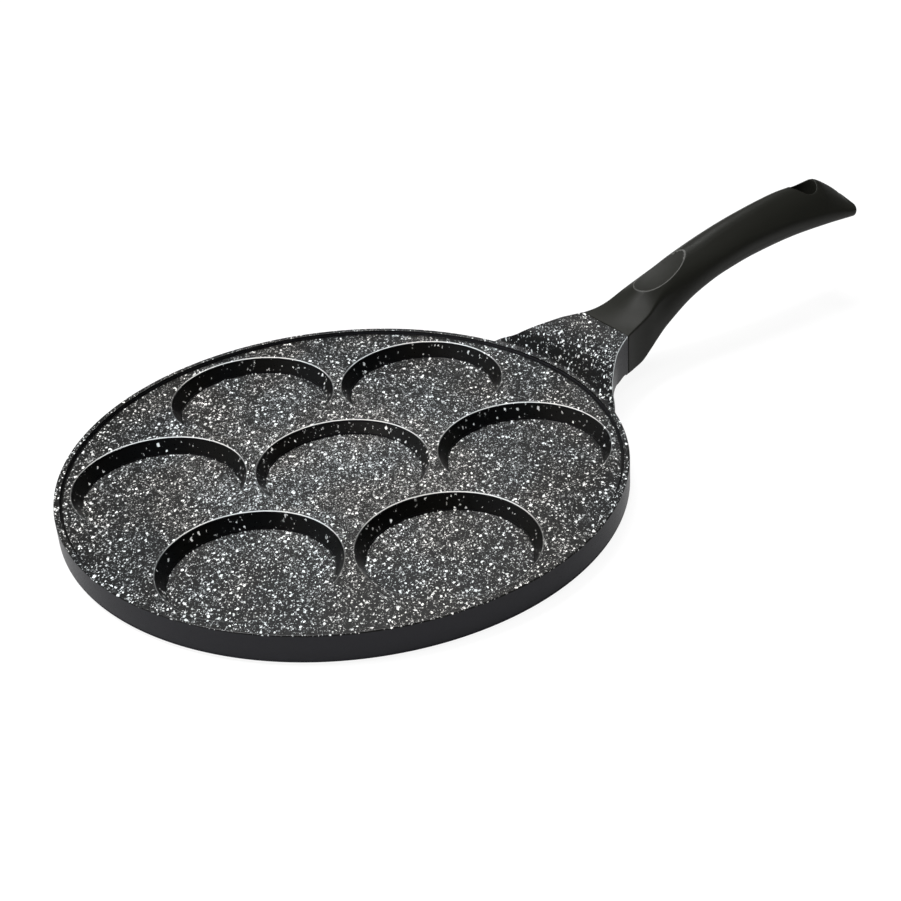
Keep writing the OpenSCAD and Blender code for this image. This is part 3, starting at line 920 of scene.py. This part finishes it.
# Stage, light and camera

FLOOR_HALF = 6.0
FLOOR_Z = -0.0002
FLOOR_LIT = (0.8, 0.8, 0.8, 1)
FLOOR_SEEN = (0.12, 0.12, 0.12, 1)
FLOOR_GLOW = 0.91

# Ramps of the studio, by the height of a direction or by how far it points behind the pan, to
# its sides or to the left
NEAR_LEVEL = (0.64, 1.0, 0.008, 0.3)
BACK_LEVEL = (0.1, 0.8, 0.0, 0.78)
BACK_TOP = (0.54, 0.78, 1.0, 0.2)
BACK_FOOT = (0.44, 0.56, 0.3, 1.0)
BACK_SIDES = (0.02, 0.32, 1.0, 0.45)
LEFT_LEVEL = (0.35, 0.85, 0.0, 0.3)

LAMP_DISTANCE = 1.6


def white_floor():
    """Floor that shows white, to the camera, in gloss and through glass, and keeps a shadow."""
    s = FLOOR_HALF
    obj = new_object("floor", [(-s, -s, 0), (s, -s, 0), (s, s, 0), (-s, s, 0)], [(0, 1, 2, 3)])
    obj.location.z = FLOOR_Z
    n = Nodes(bpy.data.materials.new("floor"))
    path = n.add("ShaderNodeLightPath").outputs
    seen = n.maths("MAXIMUM", path["Is Camera Ray"], path["Is Glossy Ray"],
                   path["Is Transmission Ray"])
    n.shade(Base_Color=n.mix(seen, FLOOR_LIT, FLOOR_SEEN), Roughness=1.0, Specular_IOR_Level=0.0,
            Emission_Color=(1, 1, 1, 1), Emission_Strength=n.maths("MULTIPLY", seen, FLOOR_GLOW))
    obj.data.materials.append(n.owner)


def world():
    """Studio that is white to the camera. For light and gloss it is bright in a band behind the
    pan, glows a little on the left and falls off to a dim sky on the near side."""
    scene = bpy.context.scene
    scene.world = bpy.data.worlds.new("studio")
    n = Nodes(scene.world, "Background")
    place = n.add("ShaderNodeTexCoord").outputs["Generated"]
    height = n.parts(place)["Z"]
    behind, right, left = (n.vectors("DOT_PRODUCT", place, way) for way in (BEHIND, RIGHT, LEFT))
    aside = n.add("ShaderNodeMath", {0: right}, operation="ABSOLUTE").outputs[0]
    near = n.ramp(height, *NEAR_LEVEL, form="LINEAR")
    back = n.maths("MULTIPLY", n.ramp(behind, *BACK_LEVEL), n.ramp(height, *BACK_TOP),
                   n.ramp(height, *BACK_FOOT, form="LINEAR"), n.ramp(aside, *BACK_SIDES))
    camera_ray = n.add("ShaderNodeLightPath").outputs["Is Camera Ray"]
    level = n.maths("MAXIMUM", near, back, n.ramp(left, *LEFT_LEVEL), camera_ray)
    n.shade(Strength=level, Color=(1, 1, 1, 1))


def soft_box(name, elevation, turn, radius, power, in_gloss=True):
    """Round soft light aimed at the pan. The turn is from straight behind, anticlockwise."""
    e, t = math.radians(elevation), math.radians(turn)
    level = Matrix.Rotation(t, 3, "Z") @ Vector(BEHIND)
    towards = Vector((level.x * math.cos(e), level.y * math.cos(e), math.sin(e)))
    lamp = bpy.data.lights.new(name, "AREA")
    lamp.shape = "DISK"
    lamp.size = 2 * radius
    lamp.energy = power
    obj = bpy.data.objects.new(name, lamp)
    obj.location = towards * LAMP_DISTANCE
    obj.rotation_mode = "QUATERNION"
    obj.rotation_quaternion = towards.to_track_quat("Z", "Y")
    obj.visible_camera = False
    obj.visible_glossy = in_gloss
    bpy.context.scene.collection.objects.link(obj)


def lamps():
    soft_box("back soft box", elevation=62, turn=0, radius=0.30, power=14.0)
    soft_box("side soft box", elevation=66, turn=84, radius=0.26, power=26.0)
    soft_box("top fill", elevation=75, turn=180, radius=0.5, power=9.0, in_gloss=False)


def camera():
    """Camera at the photograph's viewing angle, fitted to the rim, the wells and the lug."""
    azimuth, elevation, roll = (math.radians(v) for v in (-33.249, 31.246, -4.068))
    distance, shift_right, shift_up, lift = 776.84, 50.266, 11.81, 1.8
    focal_px, frame_px, sensor_mm = 1662.64, 901, 36.0
    back = Vector((math.sin(azimuth) * math.cos(elevation),
                   -math.cos(azimuth) * math.cos(elevation), math.sin(elevation)))
    right = Vector((math.cos(azimuth), math.sin(azimuth), 0))
    up = back.cross(right)
    place = (right * shift_right + up * shift_up + back * distance + Vector((0, 0, lift))) * MM
    turned_right = math.cos(roll) * right + math.sin(roll) * up
    turned_up = -math.sin(roll) * right + math.cos(roll) * up
    data = bpy.data.cameras.new("camera")
    data.sensor_width = sensor_mm
    data.lens = focal_px * sensor_mm / frame_px
    data.clip_start, data.clip_end = 0.01, 50
    obj = bpy.data.objects.new("camera", data)
    axes = Matrix((turned_right, turned_up, back)).transposed().to_4x4()
    obj.matrix_world = Matrix.Translation(place) @ axes
    bpy.context.scene.collection.objects.link(obj)
    bpy.context.scene.camera = obj


camera()
finish_piece(pan_body(), ["pan_body"], coating())
finish_piece(handle(), ["handle"], soft_touch())
finish_piece(handle_screw(), ["handle_screw"], plated_steel("screw steel", 0.62))
finish_piece(screw_washer(), ["screw_washer"], plated_steel("washer steel", 0.55))
white_floor()
world()
lamps()
bpy.context.scene.view_settings.view_transform = "Standard"
